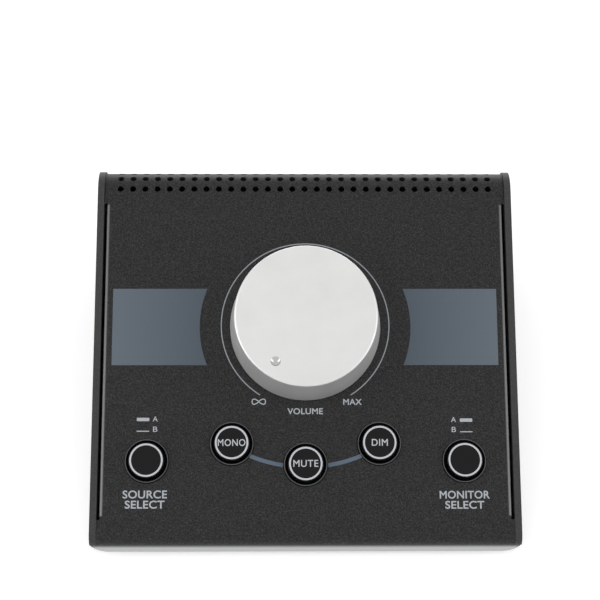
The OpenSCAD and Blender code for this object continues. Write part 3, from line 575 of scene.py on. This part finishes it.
def socketNut():  # a turned blank with sloped edges, cut to six sides
    form = socketShape
    low, high, soft = form["nutFrom"], form["nutTo"], form["nutSoft"]
    corner = form["nutFlats"] / 2 / math.cos(math.pi / 6)
    flat = corner - soft * form["nutSlope"]
    blank = bmesh.new()
    spunProfile(blank, [(form["sleeve"], low), (flat, low), (corner, low + soft), (corner, high - soft),
                        (flat, high), (form["sleeve"], high)], form["nutSteps"], closed=True)
    hexagon = bmesh.new()
    bmesh.ops.create_cone(hexagon, cap_ends=True, segments=6, radius1=corner, radius2=corner,
                          depth=form["barLong"])
    return carved(blank, hexagon, "INTERSECT")


def makeSockets():
    form = socketShape
    places = [turnFrame(Vector((x, form["panel"], z)) * mm, Vector((0, 1, 0)), Vector((0, 0, 1)))
              for z in form["rows"] for x in form["columns"]]
    piece = addPiece("socketSleeves", manyOf(socketSleeve(), places), Matrix(), "case", nickel)
    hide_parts("jack_sleeves")
    piece = addPiece("socketNuts", manyOf(socketNut(), places), Matrix(), "case", nickel,
                     form["nutSharp"])
    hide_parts("jack_nuts")


footShape = {  # (radius, height) points, from the hollow underneath to the top
    "outline": [(0, 1.2), (2.4, 1.2), (2.7, 0.9), (2.9, 0.15), (3.1, 0), (5.4, 0), (5.8, 0.12),
                (6.05, 0.45), (6.3, 1.9), (6.5, 2.6), (6.5, 3), (0, 3)],
    "radius": 6.5, "steps": 64,
}


def makeFeet():
    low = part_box("rubber_feet")[0]
    radius = footShape["radius"]
    bm = bmesh.new()
    spunProfile(bm, footShape["outline"], footShape["steps"])
    places = [Matrix.Translation((x, y, low.z)) @ Matrix.Scale(mm, 4)
              for x in spreadOf("rubber_feet", 0, radius) for y in spreadOf("rubber_feet", 1, radius)]
    piece = addPiece("mouldedFeet", manyOf(bm, places), Matrix(), "case", footRubber)
    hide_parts("rubber_feet")


makeScrews()
makeSockets()
makeFeet()
print("fasteners, sockets and feet made")

# Print on the face, in millimetres about the dial's axis
faceInk = {
    "lift": 0.01, "thick": 0.02,
    "scaleUp": 0.5, "scaleR": 28.9, "scaleLine": 0.36, "scaleEnd": 147.6, "scaleSteps": 180,
    "linkR": 49.0, "linkWide": 1.35, "linkFrom": 9.0, "linkTo": 22.6, "linkSteps": 24,
    "panelOut": 66.3, "panelLow": -13.56, "panelHigh": 13.3, "panelArc": 36.3,
    "barHigh": 1.15, "lineHigh": 0.34, "barWide": 4.24, "barRound": 0.18,
}
bars = {  # centre across and up the face, and which height
    "barSourceA": (-55.13, -32.27, "barHigh"), "lineSourceB": (-55.13, -36.29, "lineHigh"),
    "barMonitorA": (54.62, -32.6, "barHigh"), "lineMonitorB": (54.62, -36.59, "lineHigh"),
}


def printedScale():
    ink = faceInk
    half = ink["scaleLine"] / 2
    bm = bmesh.new()
    arcStrip(bm, ink["scaleR"] - half, ink["scaleR"] + half, -ink["scaleEnd"], ink["scaleEnd"],
             ink["scaleSteps"])
    thicken(bm, ink["thick"])
    addPiece("dialScale", bm, facePlace(0, ink["scaleUp"], ink["lift"]), "case", lineInk)
    half = ink["linkWide"] / 2
    for side, name in ((1, "linkLineLeft"), (-1, "linkLineRight")):
        bm = bmesh.new()
        arcStrip(bm, ink["linkR"] - half, ink["linkR"] + half,
                 180 + side * ink["linkFrom"], 180 + side * ink["linkTo"], ink["linkSteps"])
        thicken(bm, ink["thick"])
        addPiece(name, bm, facePlace(0, ink["scaleUp"], ink["lift"]), "case", arcInk)


def printedPanels():
    ink = faceInk
    for side, name in ((-1, "panelLeft"), (1, "panelRight")):
        bm = bmesh.new()
        bmesh.ops.create_grid(bm, x_segments=4, y_segments=32, size=0.5)
        for v in bm.verts:  # one side of the grid follows the circle round the dial
            y = ink["panelLow"] + (v.co.y + 0.5) * (ink["panelHigh"] - ink["panelLow"])
            inner = math.sqrt(ink["panelArc"] ** 2 - y * y)
            v.co = Vector((side * (inner + (v.co.x + 0.5) * (ink["panelOut"] - inner)), y, 0))
        thicken(bm, ink["thick"])
        addPiece(name, bm, facePlace(0, 0, ink["lift"]), "case", panelInk)


def printedBars():
    ink = faceInk
    for name, (x, up, height) in bars.items():
        bm = bmesh.new()
        bmesh.ops.create_grid(bm, x_segments=2, y_segments=2, size=0.5)
        bmesh.ops.scale(bm, vec=(ink["barWide"], ink[height], 1), verts=bm.verts)
        corners = [v for v in bm.verts if len(v.link_edges) == 2]
        bmesh.ops.bevel(bm, geom=corners, offset=ink[height] * ink["barRound"], affect="VERTICES",
                        segments=3, profile=0.5, material=-1)
        thicken(bm, ink["thick"])
        addPiece(name, bm, facePlace(x, up, ink["lift"]), "case", paleInk)


def curveMesh(curve, name):  # a curve's own mesh, with the curve gone
    source = bpy.data.objects.new(name + "Curve", curve)
    bpy.context.scene.collection.objects.link(source)
    bpy.context.view_layer.update()
    mesh = bpy.data.meshes.new_from_object(source)
    bpy.data.objects.remove(source)
    bpy.data.curves.remove(curve)
    bm = bmesh.new()
    bm.from_mesh(mesh)
    bpy.data.meshes.remove(mesh)
    return bm


# How far a stroke's edge moves out to make it bolder, for a font of size 1
strokes = {"word": 0.017, "letter": 0.008, "cap": 0.009}
spacings = {"word": 1.04, "cap": 1.08}


def lettering(name, words, centre, size, place, body, material,
              weight=strokes["word"], spacing=spacings["word"]):
    curve = bpy.data.curves.new(name, "FONT")
    curve.body = words
    curve.size = 1.0
    curve.bevel_depth = weight  # a sloped rim, which makes the strokes bolder
    curve.bevel_resolution = 0
    curve.space_character = spacing
    curve.resolution_u = 6
    curve.fill_mode = "BOTH"
    bm = curveMesh(curve, name)
    bmesh.ops.remove_doubles(bm, verts=bm.verts, dist=weld)
    xs = [v.co.x for v in bm.verts]
    ys = [v.co.y for v in bm.verts]
    middle = Vector(((min(xs) + max(xs)) / 2, (min(ys) + max(ys)) / 2, 0))
    bmesh.ops.translate(bm, vec=-middle, verts=bm.verts)
    bmesh.ops.scale(bm, vec=(size[0] / (max(xs) - min(xs)), size[1] / (max(ys) - min(ys)), 1), verts=bm.verts)
    bmesh.ops.translate(bm, vec=(centre[0], centre[1], 0), verts=bm.verts)
    bmesh.ops.scale(bm, vec=(1, 1, faceInk["thick"] / 2 / weight), verts=bm.verts)
    addPiece(name, bm, place, body, material)


faceWords = {  # words, centre across and up the face, width and cap height
    "wordVolume": ("VOLUME", (-0.1, -29.5), (12.1, 2.1)),
    "wordMax": ("MAX", (16.05, -26.3), (6.35, 2.05)),
    "wordSource": ("SOURCE", (-54.05, -57.65), (14.9, 2.7)),
    "wordSourceSelect": ("SELECT", (-54.05, -61.05), (13.3, 2.7)),
    "wordMonitor": ("MONITOR", (53.5, -57.9), (16.9, 2.65)),
    "wordMonitorSelect": ("SELECT", (53.45, -61.3), (13.15, 2.65)),
    "letterSourceA": ("A", (-51.0, -32.1), (1.75, 1.75)),
    "letterSourceB": ("B", (-50.95, -35.6), (1.5, 1.8)),
    "letterMonitorA": ("A", (50.35, -32.4), (1.75, 1.75)),
    "letterMonitorB": ("B", (50.4, -35.8), (1.5, 1.8)),
}
capWords = {  # width and cap height on the button of that name
    "mono": ("MONO", (9.3, 2.35)), "mute": ("MUTE", (8.4, 2.35)), "dim": ("DIM", (5.4, 2.3)),
}
endlessSign = {
    "across": -15.9, "up": -26.2, "wide": 4.9, "high": 2.14, "stroke": 0.34, "round": 0.8, "points": 48,
}


def printedWords():
    middle = facePlace(out=faceInk["lift"] + faceInk["thick"] / 2)
    for name, (words, centre, size) in faceWords.items():
        weight = strokes["word"] if len(words) > 1 else strokes["letter"]
        lettering(name, words, centre, size, middle, "case", paleInk, weight)
    for button, (words, size) in capWords.items():
        lettering(button + "_word", words, (0, 0), size, topPlace(button + "_ring"), button + "_button",
                  capInk, strokes["cap"], spacings["cap"])


rearWords = {  # words, and their centre in mm: X, and the height above the desk
    "rearInAL": ("IN A L", (45, 23.5)), "rearInAR": ("IN A R", (15, 23.5)),
    "rearInBL": ("IN B L", (-15, 23.5)), "rearInBR": ("IN B R", (-45, 23.5)),
    "rearOutAL": ("OUT A L", (45, 5.6)), "rearOutAR": ("OUT A R", (15, 5.6)),
    "rearOutBL": ("OUT B L", (-15, 5.6)), "rearOutBR": ("OUT B R", (-45, 5.6)),
}
rearPrint = {"lift": 0.02, "letterWide": 1.35, "high": 1.6}


def printedRear():  # plain function words beside the sockets
    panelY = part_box("rear_panel")[1].y / mm
    for name, (words, (x, z)) in rearWords.items():
        spot = Vector((x, panelY + rearPrint["lift"], z)) * mm
        place = turnFrame(spot, Vector((0, 1, 0)), Vector((0, 0, 1)))
        size = (rearPrint["letterWide"] * len(words), rearPrint["high"])
        lettering(name, words, (0, 0), size, place, "case", paleInk)


def printedEndlessSign():  # a figure of eight on its side, as one flattened stroke
    sign = endlessSign
    curve = bpy.data.curves.new("endlessSign", "CURVE")
    curve.dimensions = "2D"
    curve.bevel_depth = sign["stroke"] / 2
    curve.bevel_resolution = 2
    curve.fill_mode = "NONE"
    line = curve.splines.new("POLY")
    line.points.add(sign["points"] - 1)
    line.use_cyclic_u = True
    reach, rise = (sign["wide"] - sign["stroke"]) / 2, (sign["high"] - sign["stroke"]) / 2
    for i, point in enumerate(line.points):
        t = 2 * math.pi * (i + 0.5) / sign["points"]
        lift = math.copysign(abs(math.sin(2 * t)) ** sign["round"], math.sin(2 * t))
        point.co = (reach * math.sin(t), rise * lift, 0, 1)
    bm = curveMesh(curve, "endlessSign")
    bmesh.ops.scale(bm, vec=(1, 1, faceInk["thick"] / sign["stroke"]), verts=bm.verts)
    place = facePlace(sign["across"], sign["up"], faceInk["lift"] + faceInk["thick"] / 2)
    addPiece("endlessSign", bm, place, "case", paleInk)


printedScale()
printedPanels()
printedBars()
printedWords()
printedRear()
printedEndlessSign()
print("print on the face made")

# Floor, light and camera
studio = {
    "mirrored": ("leftStrip", "rightStrip", "rearStrip"),  # the lamps that metal and gloss show
    "world": 0.8, "floorTone": "#e6e6e6", "floorLift": 0.42, "floorHalf": 6.0, "floorDrop": 0.1 * mm,
    "panels": {  # power in watts, then width, length and place in metres, each turned to the dial
        "keyPanel": (0.6, 0.8, 0.8, (-0.3, -0.9, 0.9)),
        "leftStrip": (3.4, 0.4, 1.2, (-0.9, -0.25, 0.4)),
        "rightStrip": (3.0, 0.4, 1.2, (0.95, -0.25, 0.4)),
        "rearStrip": (3.6, 1.6, 0.2, (0.0, 1.0, 0.16)),
    },
}


def seenDirectly(tree):  # 1 where the camera or a reflection looks, and 0 for the light that it gives
    path = addNode(tree, "ShaderNodeLightPath")
    direct = addNode(tree, "ShaderNodeMath", {"operation": "MAXIMUM"},
                     {0: path.outputs["Is Camera Ray"], 1: path.outputs["Is Glossy Ray"]})
    return direct.outputs[0]


def makeFloor():
    bm = bmesh.new()
    bmesh.ops.create_grid(bm, x_segments=2, y_segments=2, size=studio["floorHalf"])
    mesh = bpy.data.meshes.new("floor")
    bm.to_mesh(mesh)
    bm.free()
    floor = bpy.data.objects.new("floor", mesh)
    bpy.context.scene.collection.objects.link(floor)
    floor.location.z = -studio["floorDrop"]
    material = bpy.data.materials.new("paperFloor")
    material.use_nodes = True
    tree = material.node_tree
    tree.nodes.clear()
    paper = addNode(tree, "ShaderNodeBsdfDiffuse", {"Color": hexColour(studio["floorTone"])})
    seen = addNode(tree, "ShaderNodeMath", {"operation": "MULTIPLY", 1: studio["floorLift"]},
                   {0: seenDirectly(tree)})
    lift = addNode(tree, "ShaderNodeEmission", {}, {"Strength": seen.outputs[0]})
    both = addNode(tree, "ShaderNodeAddShader", {}, {0: paper.outputs[0], 1: lift.outputs[0]})
    addNode(tree, "ShaderNodeOutputMaterial", {}, {"Surface": both.outputs[0]})
    mesh.materials.append(material)


def makeWorld():
    world = bpy.data.worlds.new("studioWorld")
    bpy.context.scene.world = world
    world.use_nodes = True
    tree = world.node_tree
    tree.nodes.clear()
    strength = addNode(tree, "ShaderNodeMapRange", {"To Min": studio["world"], "To Max": 1.0},
                       {"Value": seenDirectly(tree)})
    sky = addNode(tree, "ShaderNodeBackground", {"Color": (1, 1, 1, 1)}, {"Strength": strength.outputs[0]})
    addNode(tree, "ShaderNodeOutputWorld", {}, {"Surface": sky.outputs[0]})


def makeLamps():
    for name, (power, wide, long, spot) in studio["panels"].items():
        lamp = bpy.data.lights.new(name, "AREA")
        lamp.shape = "RECTANGLE"
        lamp.energy = power
        lamp.size = wide
        lamp.size_y = long
        panel = bpy.data.objects.new(name, lamp)
        bpy.context.scene.collection.objects.link(panel)
        panel.location = Vector(spot)
        panel.visible_glossy = name in studio["mirrored"]
        panel.rotation_euler = (faceOrigin - Vector(spot)).to_track_quat("-Z", "Y").to_euler()


cameraFit = {  # fitted to the photograph's perspective: place in mm on the face, angles in degrees
    "lens": 92.43, "sensor": 36, "spot": (-8.98, -110.24, 519.19), "lean": 12.97, "yaw": 0.778,
    "clip": (0.05, 50),
}


def makeCamera():
    fit = cameraFit
    data = bpy.data.cameras.new("camera")
    data.sensor_width = fit["sensor"]
    data.lens = fit["lens"]
    data.clip_start, data.clip_end = fit["clip"]
    camera = bpy.data.objects.new("camera", data)
    bpy.context.scene.collection.objects.link(camera)
    lean = math.radians(fit["lean"])
    yaw = math.radians(fit["yaw"])
    down = faceOut * math.cos(lean) - faceUp * math.sin(lean)
    up = faceOut * math.sin(lean) + faceUp * math.cos(lean)
    right = faceX * math.cos(yaw) + down * math.sin(yaw)
    back = down * math.cos(yaw) - faceX * math.sin(yaw)
    spot = faceOrigin + (faceX * fit["spot"][0] + faceUp * fit["spot"][1] + faceOut * fit["spot"][2]) * mm
    camera.matrix_world = Matrix.Translation(spot) @ Matrix((right, up, back)).transposed().to_4x4()
    bpy.context.scene.camera = camera


makeFloor()
makeWorld()
makeLamps()
makeCamera()
bpy.context.scene.view_settings.view_transform = "Standard"
print("studio and camera set")
